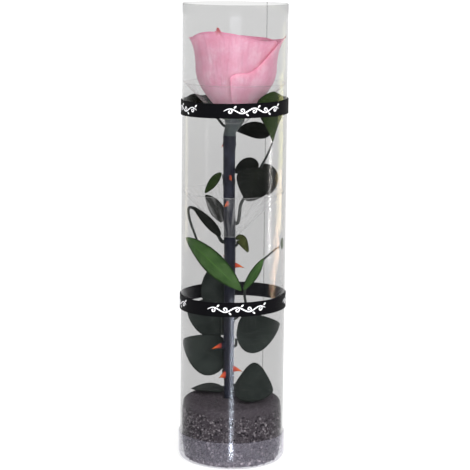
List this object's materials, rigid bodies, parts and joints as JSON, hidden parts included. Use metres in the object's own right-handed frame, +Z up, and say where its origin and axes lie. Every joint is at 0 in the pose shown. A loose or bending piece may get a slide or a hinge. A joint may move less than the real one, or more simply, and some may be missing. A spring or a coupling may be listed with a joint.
{
  "type": "preserved rose in a clear tube",
  "caption": "Preserved pink rose with leaves and thorns, standing in an open clear gift tube on a granule-covered foam base, steadied by film funnels and tied with black ribbon bands.",
  "frame": {"origin": "middle of the underside of the bottom cap", "axes": "+Z up along the tube, -Y towards the front, +X to the viewer's right"},
  "size_m": [0.0716, 0.0716, 0.3056],
  "materials": {
    "clear_film": "clear rolled film, glossy",
    "clear_cap": "clear formed cup, glossy, slightly milky",
    "foam": "open-cell floral foam, matte",
    "granules": "fine dark glued granules, dull with small glints",
    "ribbon_satin": "black satin with a small white scroll pattern",
    "stem_bark": "smooth dark stem skin with reddish thorns",
    "calyx_green": "matte green plant skin",
    "leaf_green": "waxy green leaf, dark underneath, with veins",
    "petal_pink": "soft velvety pink petal with fine veins"
  },
  "bodies": {
    "root": {"bottom_cap": "clear_cap", "calyx": "calyx_green", "clear_tube": "clear_film", "flower_heart": "petal_pink", "foam_block": "foam", "granule_coat": "granules", "lower_ribbon": "ribbon_satin", "middle_cone": "clear_film", "petal_01": "petal_pink", "petal_02": "petal_pink", "petal_03": "petal_pink", "petal_04": "petal_pink", "petal_05": "petal_pink", "petal_06": "petal_pink", "petal_07": "petal_pink", "petal_08": "petal_pink", "petal_09": "petal_pink", "petal_10": "petal_pink", "petal_11": "petal_pink", "petal_12": "petal_pink", "petal_13": "petal_pink", "petal_14": "petal_pink", "sepal_1": "calyx_green", "sepal_2": "calyx_green", "sepal_3": "calyx_green", "sepal_4": "calyx_green", "sepal_5": "calyx_green", "spray_a_leaflet_1": "leaf_green", "spray_a_leaflet_2": "leaf_green", "spray_a_leaflet_3": "leaf_green", "spray_a_leaflet_4": "leaf_green", "spray_a_leaflet_5": "leaf_green", "spray_a_stalk": "stem_bark", "spray_b_leaflet_1": "leaf_green", "spray_b_stalk": "stem_bark", "spray_c_leaflet_1": "leaf_green", "spray_c_leaflet_2": "leaf_green", "spray_c_stalk": "stem_bark", "spray_d_leaflet_1": "leaf_green", "spray_d_leaflet_2": "leaf_green", "spray_d_stalk": "stem_bark", "spray_e_leaflet_1": "leaf_green", "spray_e_leaflet_2": "leaf_green", "spray_e_stalk": "stem_bark", "spray_f_leaflet_1": "leaf_green", "spray_f_leaflet_2": "leaf_green", "spray_f_stalk": "stem_bark", "spray_g_leaflet_1": "leaf_green", "spray_g_stalk": "stem_bark", "spray_h_leaflet_1": "leaf_green", "spray_h_stalk": "stem_bark", "spray_i_leaflet_1": "leaf_green", "spray_i_stalk": "stem_bark", "spray_j_leaflet_1": "leaf_green", "spray_j_leaflet_2": "leaf_green", "spray_j_stalk": "stem_bark", "stem": "stem_bark", "upper_cone": "clear_film", "upper_ribbon": "ribbon_satin"}
  },
  "joints": []
}
